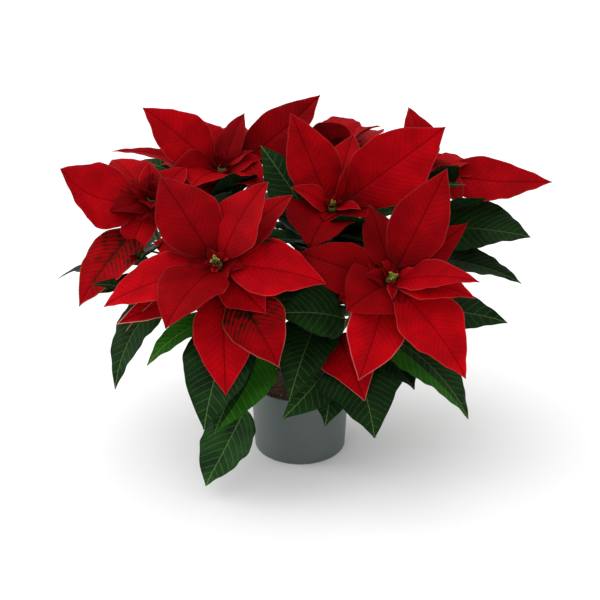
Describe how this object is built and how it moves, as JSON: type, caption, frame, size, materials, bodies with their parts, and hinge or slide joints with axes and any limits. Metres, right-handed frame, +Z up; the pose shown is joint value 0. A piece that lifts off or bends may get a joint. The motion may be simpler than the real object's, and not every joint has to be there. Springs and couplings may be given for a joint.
{
  "type": "potted poinsettia",
  "caption": "Poinsettia with broad red bracts around small green cyathia, above dark green leaves, growing in soil in a plain round grey nursery pot.",
  "frame": {"origin": "centre of the flat underside of the pot", "axes": "+Z up along the pot's axis, -Y toward the side that the picture shows, +X to the right in that view"},
  "size_m": [0.5626, 0.4141, 0.418],
  "materials": {
    "bract": "satin",
    "leaf": "satin",
    "cyathium": "satin",
    "bark": "matte",
    "soil": "matte",
    "pot": "matte"
  },
  "bodies": {
    "root": {"pot": "pot", "soil": "soil", "trunk": "bark", "low_bract": "bract", "stem_front_left": "leaf", "stem_front_right": "leaf", "stem_centre": "leaf", "stem_back_left": "leaf", "stem_back_right": "leaf", "stem_far_left": "leaf", "stem_back": "leaf", "bracts_front_left": "bract", "bracts_front_right": "bract", "bracts_centre": "bract", "bracts_back_left": "bract", "bracts_back_right": "bract", "bracts_far_left": "bract", "bracts_back": "bract", "cyathia_front_left": "cyathium", "cyathia_front_right": "cyathium", "cyathia_centre": "cyathium", "cyathia_back_left": "cyathium", "cyathia_back_right": "cyathium", "cyathia_far_left": "cyathium", "cyathia_back": "cyathium"}
  },
  "joints": []
}
